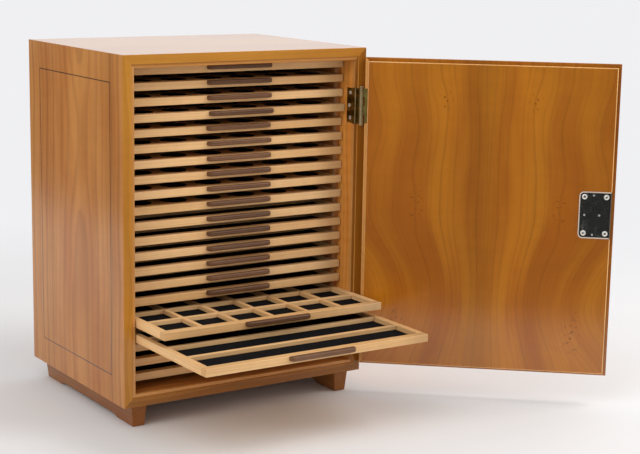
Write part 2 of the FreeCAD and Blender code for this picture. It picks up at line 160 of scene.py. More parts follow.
# Meshes: what counts as one place, angles in degrees, and the area in square millimetres above
# which a face stays flat
near = 0.1
long_edge = 3.0
weld_distance = 0.004
flat_angle = 0.4
crease_angle = 50
square_angle = 60.0
largest_smooth = 250.0


def srgb(*screen):
    """A colour from its 0 to 255 screen values."""
    shares = [value / 255 for value in screen]
    return (*(s / 12.92 if s <= 0.04045 else ((s + 0.055) / 1.055) ** 2.4 for s in shares), 1.0)


# Surroundings: what the lamps leave, what is seen behind, and what shines back
ambient = (0.70, 0.70, 0.71, 1.0)
backdrop = srgb(240, 240, 242)
backdrop_shine = (1.0, 0.99, 0.985, 1.0)
studio_dark = (0.045, 0.045, 0.045, 1.0)

# White table, in metres: the ring in which it fades, and for what shines back its end ahead of the
# open door's inner face and its left end, each with half the width over which it ends
floor_radius = 6.0
floor_drop = 0.0002
table_fade = (0.5, 1.4)
table_ahead, ahead_blur = 0.48, 0.03
table_left, left_blur = -0.90, 0.08

# Lamps: the direction from the cabinet, reach and size in metres, and level
lamp_target = (0.0, 0.0, 0.22)
lamps = {
    "right": ((0.75, -0.55, 1.0), 2.4, (1.2, 1.2), 0.40),
    "right_low": ((0.75, -0.60, 0.46), 2.8, (0.6, 0.7), 0.08),
    "left": ((-0.75, -0.45, 1.0), 2.4, (1.2, 1.2), 0.14),
    "side": ((-1.0, -0.28, 0.40), 2.4, (1.4, 1.2), 0.18),
    "back": ((1.0, 0.30, 0.50), 2.4, (1.4, 1.2), 0.12),
}

# Camera: bearing, height and tilt in degrees, its focal length in picture widths, and its place from
# the carcass's corner in carcass heights
camera_angles = (33.64, 10.89, 1.0316)
camera_focus = 1537.36 / 640
camera_place = (-1.8605, -3.778, 1.3392)


# Node helpers

def new_material(name):
    """A material with its tree and its shader."""
    made = bpy.data.materials.new(name)
    made.use_nodes = True
    tree = made.node_tree
    return made, tree, tree.nodes["Principled BSDF"]


def fill(tree, node, inputs):
    """Gives a node's inputs their values or links."""
    for key, value in inputs.items():
        if isinstance(value, bpy.types.NodeSocket):
            tree.links.new(value, node.inputs[key])
        else:
            node.inputs[key].default_value = value


def add_node(tree, kind, inputs=None, **settings):
    """A shader node with its settings and its inputs."""
    made = tree.nodes.new("ShaderNode" + kind)
    for key, value in settings.items():
        setattr(made, key, value)
    fill(tree, made, inputs or {})
    return made


def calc(tree, operation, first, second=0.0, third=0.0, clamp=False):
    """A sum on numbers or sockets."""
    inputs = {0: first, 1: second, 2: third}
    made = add_node(tree, "Math", inputs, operation=operation, use_clamp=clamp)
    return made.outputs[0]


def times(tree, first, second):
    """A product."""
    return calc(tree, "MULTIPLY", first, second)


def minus(tree, first, second):
    """A difference."""
    return calc(tree, "SUBTRACT", first, second)


def vector_calc(tree, operation, first, second=(0, 0, 0), output=0):
    """A sum on vectors or vector sockets; its second output is a number."""
    inputs = {0: first, 1: second}
    return add_node(tree, "VectorMath", inputs, operation=operation).outputs[output]


def split(tree, vector):
    """The three parts of a vector or a colour."""
    return add_node(tree, "SeparateXYZ", {0: vector}).outputs


def blend_colour(tree, factor, first, second):
    """Two colours mixed by a factor."""
    inputs = {0: factor, 6: first, 7: second}
    return add_node(tree, "Mix", inputs, data_type="RGBA").outputs[2]


def ramp(tree, value, low, high):
    """A smooth rise from 0 at low to 1 at high."""
    inputs = {"Value": value, "From Min": low, "From Max": high}
    made = add_node(tree, "MapRange", inputs, interpolation_type="SMOOTHSTEP")
    return made.outputs["Result"]


def noise_of(tree, vector, scale, detail=2.0, roughness=0.5, output=0):
    """Even noise around one half, or three of them as a colour from the second output."""
    inputs = {"Vector": vector, "Scale": scale, "Detail": detail, "Roughness": roughness}
    return add_node(tree, "TexNoise", inputs).outputs[output]


def random_of(tree, number):
    """A random share for each whole number."""
    inputs = {"W": number}
    return add_node(tree, "TexWhiteNoise", inputs, noise_dimensions="1D").outputs[0]


def carcass_place(tree, on_door=False):
    """The place on the piece in the carcass's millimetres, with the door closed."""
    place = add_node(tree, "TexCoord").outputs["Object"]
    if on_door:
        inputs = {"Vector": place, "Center": hinge_axis, "Angle": -math.radians(door_open_angle)}
        place = add_node(tree, "VectorRotate", inputs, rotation_type="Z_AXIS").outputs[0]
    place = vector_calc(tree, "SUBTRACT", place, corner)
    return vector_calc(tree, "MULTIPLY", place, (1 / MM,) * 3)


def bump_at(tree, value, centre, reach):
    """1 at a centre, falling smoothly to 0 at a reach from it."""
    gap = calc(tree, "ABSOLUTE", minus(tree, value, centre))
    return ramp(tree, gap, reach, 0.0)


def around(tree, value, amount, total):
    """Adds to a total what a value near one half gives when it swings by an amount."""
    swing_about = minus(tree, value, 0.5)
    return calc(tree, "MULTIPLY_ADD", swing_about, amount * 2, total)


def bumped(tree, shader, heights, strength, distance):
    """A bump from a height, into the shader's normal."""
    inputs = {"Height": heights, "Strength": strength, "Distance": distance}
    fill(tree, shader, {"Normal": add_node(tree, "Bump", inputs).outputs[0]})


def shiny_rays(tree):
    """The kinds of ray, and whether one is seen as a shine."""
    rays = add_node(tree, "LightPath").outputs
    return rays, calc(tree, "MAXIMUM", rays["Is Glossy Ray"], rays["Is Transmission Ray"])


# Wood: scales of its noises per millimetre, across the grain and along it
drift_scale = (0.003, 0.0034)
ripple_scale = (0.05, 0.010)
tone_scale = (0.02, 0.0035)
fibre_scale = (1.3, 0.03)
streak_scale = (0.2, 0.005)
pore_scale = (2.8, 0.14)
shimmer_scale = (0.03, 0.09)
speck_scale = (0.22, 0.3)

# Wood: how a knot is drawn out along the grain, how far apart two trays lie in one figure, where
# the dark line of a ring ends, its finish and the depth of its relief in metres
knot_slimness = 0.42
tray_figure_step = 431.0
line_end = 0.9
wood_roughness = 0.5
wood_specular = 0.06
wood_relief = 0.00004

# Metal and cloth: scales of their noises per millimetre, and the ways that scratches are drawn
tarnish_scale, spot_scale, scratch_scale = 0.09, 1.1, 3.0
upright, ground, handled = (0.2, 0.2, 1.6), (0.2, 1, 1.6), (0.8, 0.8, 0.8)
nap_scale, patch_scale, lint_scale = 2.6, 0.05, 0.9
lint = (110, 110, 108)


# Materials

def knotted(tree, side, run, knots, phase):
    """The rings' phase lifted round knots, the room for their pins and their lighter flare."""
    pins = flare = 0.0
    for knot_side, knot_run, reach, lift in knots:
        wide = times(tree, minus(tree, side, knot_side), 1 / reach)
        tall = minus(tree, run, knot_run)
        tall = times(tree, tall, knot_slimness / reach)
        wide, tall = (times(tree, part, part) for part in (wide, tall))
        gap = calc(tree, "SQRT", calc(tree, "ADD", wide, tall))
        phase = calc(tree, "MULTIPLY_ADD", ramp(tree, gap, 1.0, 0.0), lift, phase)
        pins = calc(tree, "MAXIMUM", ramp(tree, gap, 0.55, 0.1), pins)
        flare = calc(tree, "MAXIMUM", ramp(tree, gap, 1.3, 0.1), flare)
    return phase, pins, flare


def late_wood(tree, phase, line_start):
    """The dark line in which each ring ends, every one with its own width and weight."""
    uneven_place = add_node(tree, "CombineXYZ", {0: times(tree, phase, 0.4)})
    uneven = noise_of(tree, uneven_place.outputs[0], 1.0, 1.0)
    phase = calc(tree, "MULTIPLY_ADD", uneven, 2.0, phase)
    ring = calc(tree, "FRACT", phase)
    fall = minus(tree, 1.0, ramp(tree, ring, line_end, 1.0))
    late = times(tree, ramp(tree, ring, line_start, line_end), fall)
    weight = calc(tree, "MULTIPLY_ADD", random_of(tree, calc(tree, "FLOOR", phase)), 0.8, 0.2)
    return times(tree, late, weight)


def with_hinge_edge_highlight(tree, across, along, hinge_edge_highlight, colour):
    """A colour that turns paler past the plug's mitred inner edge on its hinge side: a painted
    highlight where that edge catches the light.
    """
    edge, edge_colour = hinge_edge_highlight
    outside = minus(tree, across, edge)
    above = minus(tree, along, height - plug_left)
    below = minus(tree, plug_left, along)
    past = calc(tree, "MAXIMUM", calc(tree, "MAXIMUM", above, below), 0.0)
    beyond = calc(tree, "GREATER_THAN", minus(tree, outside, past), 0.0)
    return blend_colour(tree, beyond, colour, srgb(*edge_colour))


def wood(name, axes, tones, rings=8.0, pith=(0.0, 60.0), wander=9.0, line_depth=0.35,
         fibre_depth=0.05, streak_depth=0.09, pore_depth=0.15, coat=1.0, coat_roughness=0.17,
         coat_index=1.5, line_start=0.35, pinches=(), figure_and_shade_bands=(), knots=(), joint=None,
         hinge_edge_highlight=None, by_tray=0.0, on_door=False):
    """Planed and oiled wood: rings round a wandering pith, fibres, streaks, pores and bands, which on
    the tray rails are painted shade.

    The axes are named as the one across the face, the one into it and the one along the grain.
    """
    light, dark, line = (srgb(*tone) for tone in tones)
    made, tree, shader = new_material(name)
    parts = split(tree, carcass_place(tree, on_door))
    across, rise, along = (parts["XYZ".index(axis)] for axis in axes)
    side, run = across, along
    if joint is not None:
        side = calc(tree, "ABSOLUTE", minus(tree, side, joint))
    knot_side = side
    spread = 1.0
    for centre, reach, amount in pinches:
        spread = calc(tree, "MULTIPLY_ADD", bump_at(tree, run, centre, reach), amount, spread)
    if pinches:
        side = times(tree, side, spread)
    if by_tray:
        level = calc(tree, "FLOOR", times(tree, parts[2], 1 / tray_pitch))
        run = calc(tree, "MULTIPLY_ADD", level, tray_figure_step, run)
    place = add_node(tree, "CombineXYZ", {0: side, 1: rise, 2: run}).outputs[0]

    def grain(scale, detail, roughness=0.5, output=0):
        drawn_out = vector_calc(tree, "MULTIPLY", place, (scale[0], scale[0], scale[1]))
        return noise_of(tree, drawn_out, 1.0, detail, roughness, output)

    shifts = split(tree, grain(drift_scale, 1.0, output=1))
    off_side = around(tree, shifts[0], wander, side)
    off_rise = around(tree, shifts[1], wander * 1.6, rise)
    first = calc(tree, "POWER", minus(tree, off_side, pith[0]), 2.0)
    second = calc(tree, "POWER", minus(tree, off_rise, pith[1]), 2.0)
    radius = calc(tree, "SQRT", calc(tree, "ADD", first, second))
    phase = times(tree, radius, 1 / rings)
    phase = calc(tree, "MULTIPLY_ADD", grain(ripple_scale, 2.0), 0.5, phase)
    phase, pins, flare = knotted(tree, knot_side, run, knots, phase)
    late = late_wood(tree, phase, line_start)

    tone = ramp(tree, grain(tone_scale, 3.0), 0.32, 0.68)
    fibres = grain(fibre_scale, 3.0, 0.6)
    streaks = grain(streak_scale, 3.0, 0.6)
    pores = ramp(tree, grain(pore_scale, 1.0), 0.64, 0.78)
    shimmer = grain(shimmer_scale, 2.0)

    colour = blend_colour(tree, tone, light, dark)
    if hinge_edge_highlight:
        colour = with_hinge_edge_highlight(tree, across, along, hinge_edge_highlight, colour)
    colour = blend_colour(tree, times(tree, late, line_depth), colour, line)
    colour = blend_colour(tree, times(tree, pores, pore_depth), colour, line)
    brightness = around(tree, fibres, fibre_depth, 1.0)
    brightness = around(tree, streaks, streak_depth, brightness)
    brightness = around(tree, shimmer, fibre_depth * 1.2, brightness)
    if knots:
        specks = ramp(tree, grain(speck_scale, 1.0), 0.64, 0.70)
        pins = times(tree, times(tree, specks, pins), 0.8)
        colour = blend_colour(tree, pins, colour, line)
        brightness = calc(tree, "MULTIPLY_ADD", flare, 0.08, brightness)
    if by_tray:
        brightness = around(tree, random_of(tree, level), by_tray, brightness)
    for direction, centre, reach, amount in figure_and_shade_bands:
        value = {"across": across, "along": along}[direction]
        band = bump_at(tree, value, centre, reach)
        brightness = calc(tree, "MULTIPLY_ADD", band, amount, brightness)
    inputs = {"Color": colour, "Value": brightness}
    fill(tree, shader, {
        "Base Color": add_node(tree, "HueSaturation", inputs).outputs[0],
        "Roughness": calc(tree, "MULTIPLY_ADD", fibres, 0.14, wood_roughness - 0.07),
        "Specular IOR Level": wood_specular,
        "Coat Weight": coat,
        "Coat Roughness": coat_roughness,
        "Coat IOR": coat_index,
    })
    raised = times(tree, fibres, 0.6)
    relief = minus(tree, raised, calc(tree, "ADD", pores, late))
    bumped(tree, shader, relief, 0.2, wood_relief)
    return made


def metal(name, light, dark, roughness, brushed, patina, metallic=1.0, on_door=False, worn=0.02):
    """Metal with tarnish, fine scratches and handling marks."""
    made, tree, shader = new_material(name)
    place = carcass_place(tree, on_door)
    cloud = ramp(tree, noise_of(tree, place, tarnish_scale, 4.0, 0.6), 0.35, 0.7)
    spots = ramp(tree, noise_of(tree, place, spot_scale, 3.0), 0.5, 0.8)
    brushed_place = vector_calc(tree, "MULTIPLY", place, brushed)
    scratches = noise_of(tree, brushed_place, scratch_scale, 3.0, 0.7)
    mix = calc(tree, "MULTIPLY", calc(tree, "MULTIPLY_ADD", spots, 0.3, cloud), patina, clamp=True)
    rough = calc(tree, "MULTIPLY_ADD", cloud, 0.14, roughness - 0.05)
    fill(tree, shader, {
        "Base Color": blend_colour(tree, mix, srgb(*light), srgb(*dark)),
        "Metallic": metallic,
        "Roughness": calc(tree, "MULTIPLY_ADD", scratches, 0.1, rough),
    })
    bumped(tree, shader, scratches, 0.2, worn * MM)
    return made


def cloth(name, light, dark, pile):
    """Short felted pile, with lint and pressed patches."""
    made, tree, shader = new_material(name)
    place = carcass_place(tree)
    nap = noise_of(tree, place, nap_scale, 3.0, 0.7)
    patches = noise_of(tree, place, patch_scale, 3.0)
    specks = ramp(tree, noise_of(tree, place, lint_scale, 2.0), 0.72, 0.78)
    mix = calc(tree, "MULTIPLY_ADD", minus(tree, nap, 0.5), 0.9, patches, clamp=True)
    colour = blend_colour(tree, mix, srgb(*dark), srgb(*light))
    colour = blend_colour(tree, times(tree, specks, 0.06), colour, srgb(*lint))
    fill(tree, shader, {
        "Base Color": colour,
        "Roughness": calc(tree, "MULTIPLY_ADD", nap, 0.15, 0.82),
        "Specular IOR Level": 0.08,
    })
    bumped(tree, shader, nap, 0.6, pile * MM)
    return made


# Tones of each wood: light, dark, and the line of its rings
cherry = ((192, 130, 66), (174, 107, 46), (110, 57, 18))
cherry_edge = ((190, 129, 46), (176, 112, 33), (114, 60, 12))
cherry_shaded = ((158, 100, 27), (142, 85, 17), (95, 48, 8))
# The wall tone is brighter to paint the light that falls on the far side's inner wall.
cherry_wall_painted_light = ((230, 160, 76), (212, 136, 56), (140, 76, 24))
door_cherry = ((179, 109, 14), (158, 87, 6), (92, 44, 2))
# The door's chamfer tone is paler to paint the highlight along the plug's chamfer.
door_chamfer_highlight = ((238, 184, 112), (222, 162, 90), (160, 104, 50))
skid = ((156, 98, 44), (138, 80, 30), (92, 46, 12))
bead_wood = ((206, 146, 78), (188, 126, 60), (140, 84, 36))
bead_shaded = ((158, 102, 40), (142, 86, 30), (104, 56, 18))
inlay = ((86, 52, 34), (66, 38, 24), (44, 24, 16))
guide = ((188, 124, 66), (156, 96, 44), (104, 60, 26))
# The guide corner tone paints the highlight on the guides' rounded front corners.
guide_corner_highlight = ((164, 122, 80), (136, 96, 60), (96, 62, 34))
maple = ((233, 189, 134), (219, 171, 114), (186, 134, 82))
maple_end = ((212, 164, 108), (196, 146, 90), (156, 106, 62))
insert = ((226, 180, 124), (208, 160, 104), (170, 122, 72))
walnut = ((122, 84, 56), (98, 65, 42), (52, 33, 22))
maple_finish = dict(rings=3.4, wander=4.0, line_depth=0.3, coat=0.35, pore_depth=0.08,
                    streak_depth=0.05, by_tray=0.03)
door_figure = dict(
    rings=9, pith=(-60, -30), line_depth=0.25, line_start=0.66, streak_depth=0.075,
    coat_index=1.62, joint=177.5,
    pinches=((108, 120, 0.45), (340, 70, 0.08)),
    knots=((58, 374, 22, 0.6), (94, 236, 24, 0.7), (118, 66, 34, 1.1)),
    figure_and_shade_bands=(
        ("across", 190, 34, -0.16), ("across", 138, 22, 0.10),
        ("across", 320, 60, 0.06), ("across", 40, 40, -0.04),
    ),
    # The hinge-side edge of the plug is paler, painting the highlight it catches.
    hinge_edge_highlight=(339.5, (226, 161, 84)),
)
bead_figure = dict(rings=5, wander=4)
guide_figure = dict(rings=4, wander=4, coat_roughness=0.3)
side_figure = dict(pith=(118, -70), rings=9, wander=13, coat=0.7)
materials = {
    "side_left": wood(
        "cherry_side", "YXZ", cherry,
        figure_and_shade_bands=(("across", 34, 24, -0.12), ("across", 150, 60, 0.07)), **side_figure,
    ),
    "side_left_edge": wood("cherry_side_edge", "YXZ", cherry_edge, **side_figure),
    "skid": wood("cherry_skid", "XZY", skid, pith=(80, -140), rings=6, coat=0.6),
    "back_panel": wood("cherry_back", "XYZ", cherry, pith=(170, 390), rings=9, wander=20),
    "door": wood("cherry_door", "XYZ", door_cherry, on_door=True, **door_figure),
    "door_chamfer_highlight": wood("cherry_door_chamfer", "XYZ", door_chamfer_highlight, on_door=True),
    "bead_upright": wood("bead_upright", "XYZ", bead_wood, **bead_figure),
    "bead_level": wood("bead_level", "ZYX", bead_wood, **bead_figure),
    "bead_shaded": wood("bead_shaded", "XYZ", bead_shaded, **bead_figure),
    "inlay": wood("dark_inlay", "YXZ", inlay, rings=3, wander=4),
    "guide": wood("guide_wood", "XZY", guide, coat=0.4, **guide_figure),
    "guide_corner_highlight": wood("guide_corner_highlight", "XZY", guide_corner_highlight, coat=0.3, **guide_figure),
    # The rail's bands paint shade: near its right end, where the open door shades the trays, and near
    # its left end, beside the stile.
    "rail": wood(
        "maple_rail", "YZX", maple, pith=(140, -160),
        figure_and_shade_bands=(("along", 334, 46, -0.24), ("along", 22, 90, -0.07)), **maple_finish,
    ),
    "rail_side": wood("maple_side", "XZY", maple, pith=(150, -160), **maple_finish),
    "rail_end": wood("maple_end", "YXZ", maple_end, pith=(150, -60), **maple_finish),
    "base": wood("maple_base", "XZY", maple, rings=5, wander=6, line_depth=0.2, coat=0),
    "insert": wood("maple_insert", "YZX", insert, pith=(150, -90), **maple_finish),
    "pull": wood(
        "walnut_pull", "YZX", walnut, rings=2.2, pith=(100, -60), wander=3, line_depth=0.6,
        fibre_depth=0.16, streak_depth=0.12, pore_depth=0.5, coat=0.6, coat_roughness=0.32,
        by_tray=0.08,
    ),
    "felt": cloth("felt_black", (24, 26, 29), (12, 13, 15), 0.25),
}
# The front edges of the far side and the bottom take the shaded tone: painted shade, the right stile
# lying in the open door's shadow and the bottom rail under the trays.
for look, name, axes, face_tones, edge_tones, figure in (
    # The far side's face tone paints the light on its inner wall.
    ("side_right", "side_far", "YXZ", cherry_wall_painted_light, cherry_shaded, dict(pith=(190, 430))),
    ("top_panel", "top", "YZX", cherry, cherry_edge, dict(pith=(120, 540), rings=9)),
    ("bottom_panel", "bottom", "YZX", cherry, cherry_shaded, dict(pith=(60, -90))),
):
    materials[look] = wood(f"cherry_{name}", axes, face_tones, **figure)
    materials[f"{look}_edge"] = wood(f"cherry_{name}_edge", axes, edge_tones, **figure)

# Metals: name, light and dark tones, roughness, scratches, patina, metalness, whether they turn
# with the door, and the depth of their scratches in millimetres
metals = {
    "brass": ("aged_brass", (150, 124, 64), (84, 68, 30), 0.28, upright, 0.85),
    "brass_door": ("aged_brass_door", (172, 154, 84), (120, 104, 50), 0.3, upright, 0.8, 0.6, True),
    # Worn brass is paler, also to paint the highlights on the knuckles, the pins and the crank's
    # arris.
    "brass_worn_and_highlight": ("worn_brass_and_highlight", (216, 196, 150), (152, 130, 84), 0.3, (1, 1, 0.2), 0.6, 0.7),
    "screw": ("screw_steel", (240, 236, 226), (196, 188, 172), 0.26, handled, 0.3, 0.55),
    "screw_bright": ("screw_nickel", (246, 243, 234), (196, 192, 182), 0.22, handled, 0.45, 0.3, True),
    "recess": ("screw_recess_shade", (84, 76, 60), (54, 48, 38), 0.4, handled, 0.5, 0.4),
    "rivet": ("rivet_nickel", (206, 204, 198), (150, 148, 142), 0.26, handled, 0.5, 0.35, True),
    "nickel": ("lock_nickel", (244, 228, 212), (206, 188, 168), 0.3, ground, 0.35, 0.35, True),
    "cover": (
        "lock_dark_steel", (158, 158, 153), (112, 112, 109), 0.16, (0.3, 1, 1.2), 0.5, 1, True, 0.006
    ),
    "case_edge": ("lock_edge_steel", (128, 112, 92), (92, 80, 64), 0.3, ground, 0.5, 0.35, True),
    "bolt": ("bolt_steel", (176, 172, 164), (118, 114, 106), 0.3, (1.6, 1, 0.2), 0.5, 1, True),
}
for look, settings in metals.items():
    materials[look] = metal(*settings)


# Mesh helpers, in millimetres

def add_object(name, data):
    """An object with its data, in the scene."""
    made = bpy.data.objects.new(name, data)
    bpy.context.scene.collection.objects.link(made)
    return made


def quarter_turns(steps):
    """Even angles from 0 to a quarter turn."""
    return [math.pi / 2 * index / steps for index in range(steps + 1)]


def round_edges(bm, edges, easing, segments, material=-1):
    """Rounds some edges of a shape."""
    bmesh.ops.bevel(
        bm, geom=edges, offset=easing, offset_type="OFFSET", segments=segments,
        profile=0.5, affect="EDGES", clamp_overlap=True, material=material,
    )


def bar(bm, low, high, easing=rail_easing, material=0):
    """A bar between two corners, with its edges eased."""
    known = set(bm.faces)
    low, high = Vector(low), Vector(high)
    made = bmesh.ops.create_cube(bm, size=1.0)["verts"]
    middle, span = (low + high) / 2, high - low
    for vert in made:
        vert.co = middle + Vector(c * s for c, s in zip(vert.co, span))
    if easing:
        round_edges(bm, list({edge for vert in made for edge in vert.link_edges}), easing, 2)
    for face in bm.faces:
        if face not in known:
            face.material_index = material


def loft(bm, rings, material=0, cap_ends=True):
    """Faces between rings of as many points, closed at both ends."""
    rows = [[bm.verts.new(point) for point in ring] for ring in rings]
    count = len(rings[0])
    faces = []
    for low, high in zip(rows, rows[1:]):
        for index in range(count):
            after = (index + 1) % count
            faces.append(bm.faces.new((low[index], low[after], high[after], high[index])))
    if cap_ends:
        faces.append(bm.faces.new(list(reversed(rows[0]))))
        faces.append(bm.faces.new(rows[-1]))
    for face in faces:
        face.material_index = material


def circles(profile, angles, middle=(0, 0)):
    """Rings of points round an upright line, one for each radius and level."""
    x, y = middle
    return [[(x + r * math.cos(a), y + r * math.sin(a), z) for a in angles] for r, z in profile]


def facing(direction, point):
    """A matrix that sets the third direction along a direction, at a point."""
    turn = Vector(direction).to_track_quat("Z", "Y").to_matrix().to_4x4()
    return Matrix.Translation(Vector(point)) @ turn


def cad_copy(node, on_door=False):
    """A CAD node's shape as clean faces in the carcass's millimetres, with the door closed."""
    bm = bmesh.new()
    bm.from_mesh(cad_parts[node].data)
    if on_door:
        bm.transform(swing.inverted())
    bm.transform(Matrix.Scale(1 / MM, 4) @ Matrix.Translation(-corner))
    bmesh.ops.remove_doubles(bm, verts=bm.verts, dist=weld_distance)
    angle = math.radians(flat_angle)
    bmesh.ops.dissolve_limit(bm, angle_limit=angle, verts=bm.verts, edges=bm.edges)
    return bm


def ease(bm, easing, test=None, shortest=long_edge, sharpest=25.0, segments=3, material=-1):
    """Rounds the sharp outer edges that are long enough and pass a test."""
    picked = []
    for edge in bm.edges:
        if len(edge.link_faces) != 2 or edge.calc_length() < shortest:
            continue
        if not edge.is_convex or edge.calc_face_angle() < math.radians(sharpest):
            continue
        if test is None or test(edge.verts[0].co, edge.verts[1].co):
            picked.append(edge)
    round_edges(bm, picked, easing, segments, material)


def as_piece(name, bm, body, looks, replaces=()):
    """Makes a shape a piece that rides on a body, with its materials and even normals."""
    bmesh.ops.recalc_face_normals(bm, faces=bm.faces)
    bm.transform(Matrix.Translation(corner) @ Matrix.Scale(MM, 4))
    if body in ("door", "lock_bolt"):
        bm.transform(swing)
    mesh = bpy.data.meshes.new(name)
    bm.to_mesh(mesh)
    bm.free()
    for look in looks:
        mesh.materials.append(materials[look])
    mesh.shade_smooth()
    mesh.set_sharp_from_angle(angle=math.radians(crease_angle))
    for polygon in mesh.polygons:
        polygon.use_smooth = polygon.area < largest_smooth * MM**2
    piece = add_object(name, mesh)
    piece.modifiers.new("even_normals", "WEIGHTED_NORMAL").keep_sharp = True
    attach(piece, body)
    if replaces:
        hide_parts(*replaces)
    return piece


def as_node(node, bm, body, looks):
    """Makes a shape the piece that takes a CAD node's place."""
    as_piece(f"{node}_eased", bm, body, looks, [node])


def carved(bm, cutter):
    """One shape with another taken out of it."""
    objects = []
    for shape in (bm, cutter):
        bmesh.ops.recalc_face_normals(shape, faces=shape.faces)
        mesh = bpy.data.meshes.new("work")
        shape.to_mesh(mesh)
        shape.free()
        objects.append(add_object("work", mesh))
    cut = objects[0].modifiers.new("cut", "BOOLEAN")
    cut.operation = "DIFFERENCE"
    cut.solver = "EXACT"
    cut.object = objects[1]
    result = bmesh.new()
    result.from_object(objects[0], bpy.context.evaluated_depsgraph_get())
    for item in objects:
        bpy.data.objects.remove(item)
    return result


# Carcass

def is_free(first, second):
    """Whether an edge of a board keeps clear of its mitred ends and of the inlaid line."""
    inset = stringing_inset - stringing_spare

    def gaps(point):
        x, z = point.x, point.z
        return (x - z, x + z - height, width - x - z, width - x + z - height)

    def inside(point):
        return inset < point.y < depth - inset and inset < point.z < height - inset

    if inside(first) and inside(second):
        return False
    return not any(abs(a) < near and abs(b) < near for a, b in zip(gaps(first), gaps(second)))


def on_upright(first, second, x):
    """Whether an edge stands upright at a place across the carcass."""
    beside = abs(first.x - x) < near and abs(second.x - x) < near
    return beside and abs(first.z - second.z) > long_edge


def is_guide_corner(first, second):
    """Whether an edge is the upright one at the front of a tray guide, next to the trays."""
    inner = (board + guide_width, width - board - guide_width)
    return any(on_upright(first, second, x) for x in inner) and first.y < depth / 2


def make_carcass():
    """Boards with eased edges, the skids, the inlaid line, the tray guides and the bead."""
    for node in ("side_left", "side_right", "top_panel", "bottom_panel", "back_panel"):
        bm = cad_copy(node)
        ease(bm, board_easing, is_free, shortest=shortest_board_edge)
        looks = [node]
        if node != "back_panel":
            mark_front(bm)
            looks.append(f"{node}_edge")
        as_node(node, bm, "carcass", looks)
    bm = cad_copy("base_skids")
    ease(bm, skid_easing)
    as_node("base_skids", bm, "carcass", ["skid"])
    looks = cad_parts["side_stringing"].data.materials
    looks.clear()
    looks.append(materials["inlay"])
    bm = cad_copy("tray_guides")
    # The rounded upright corner at the front of each guide takes the second material, a greyer tone
    # that paints its highlight.
    ease(bm, guide_corner_radius, is_guide_corner, segments=4, material=1)
    ease(bm, guide_easing, segments=2, sharpest=square_angle)
    as_node("tray_guides", bm, "carcass", ["guide", "guide_corner_highlight"])
    make_bead()


def mark_front(bm):
    """Gives the front faces of a board its second material."""
    for face in bm.faces:
        face.normal_update()
        faces_front = face.normal.y < -0.7 and face.calc_center_median().y < front_reach
        face.material_index = int(faces_front)


def make_bead():
    """Paler strip round the opening, mitred at its corners, with a rounded front."""
    back = bead_setback + bead_depth
    lip = bead_setback + bead_round_off
    profile = [(0.0, back), (0.0, bead_setback + bead_back_easing), (bead_back_easing, bead_setback)]
    for turn in quarter_turns(bead_steps):
        inset = bead_width - bead_round_off + bead_round_off * math.sin(turn)
        profile.append((inset, lip - bead_round_off * math.cos(turn)))
    profile.append((bead_width, back))
    front = range(1, len(profile) - 3)
    bm = bmesh.new()
    rows = []
    for inset, y in profile:
        low = flat + inset
        right, high = width - low, height - low
        corners = ((low, low), (right, low), (right, high), (low, high))
        rows.append([bm.verts.new((x, y, z)) for x, z in corners])
    for index, row in enumerate(rows):
        after = rows[(index + 1) % len(rows)]
        for side in range(4):
            follow = (side + 1) % 4
            face = bm.faces.new((row[side], row[follow], after[follow], after[side]))
            # The front of the right upright takes the third, darker material: painted shade from the
            # open door.
            face.material_index = 2 if side == 1 and index in front else side % 2
    cutter = bmesh.new()
    right = width - flat
    for bottom in hinge_bottoms:
        bar(
            cutter,
            (right - bead_width - hinge_reach, -hinge_reach, bottom - hinge_room),
            (right + hinge_reach, back + hinge_reach, bottom + hinge_length + hinge_room),
            easing=0,
        )
    looks = ["bead_level", "bead_upright", "bead_shaded"]
    as_node("seat_bead", carved(bm, cutter), "carcass", looks)


# Trays

def place_of(name):
    """The corners of a node's or a body's box in the carcass's millimetres."""
    low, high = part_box(name)
    return (low - corner) / MM, (high - corner) / MM


def tray_inside(number):
    """The left, right, front, back and floor of a tray's inside."""
    low, high = place_of(f"tray_{number:02d}")
    left, right = low.x + side_rail, high.x - side_rail
    return left, right, low.y + front_rail, high.y - back_rail, low.z + tray_base


def make_tray_wood(number):
    """A tray's rails with their end grain, its base and its dividers."""
    name = f"tray_{number:02d}"
    low, high = place_of(name)
    left, right, behind, back, lining = tray_inside(number)
    bm = bmesh.new()
    bar(bm, low, (high.x, behind, high.z))
    bar(bm, (low.x, back, lining), high)
    bar(bm, (low.x, behind, lining), (left, back, high.z), material=1)
    bar(bm, (right, behind, lining), (high.x, back, high.z), material=1)
    bar(bm, (low.x, behind, low.z), (high.x, high.y, lining), base_easing, material=2)
    for face in bm.faces:
        face.normal_update()
        if face.material_index == 0 and abs(face.normal.x) > 0.9:
            face.material_index = 3
    if number not in drilled_trays:
        make_dividers(bm, number, high.z - divider_drop)
    looks = ["rail", "rail_side", "base", "rail_end"]
    return as_piece(f"{name}_wood", bm, name, looks, [name])


def make_dividers(bm, number, top):
    """Long strips between the rows, and short ones that make squares."""
    left, right, front, back, lining = tray_inside(number)
    bottom = lining + felt_thickness
    row_pitch = (back - front + divider) / row_count
    column_pitch = (right - left + divider) / column_count
    for row in range(1, row_count):
        y = front + row * row_pitch - divider
        bar(bm, (left, y, bottom), (right, y + divider, top))
    if number not in square_trays:
        return
    for row in range(row_count):
        y = front + row * row_pitch
        for column in range(1, column_count):
            x = left + column * column_pitch - divider
            end = y + row_pitch - divider
            bar(bm, (x, y, bottom), (x + divider, end, top), material=1)


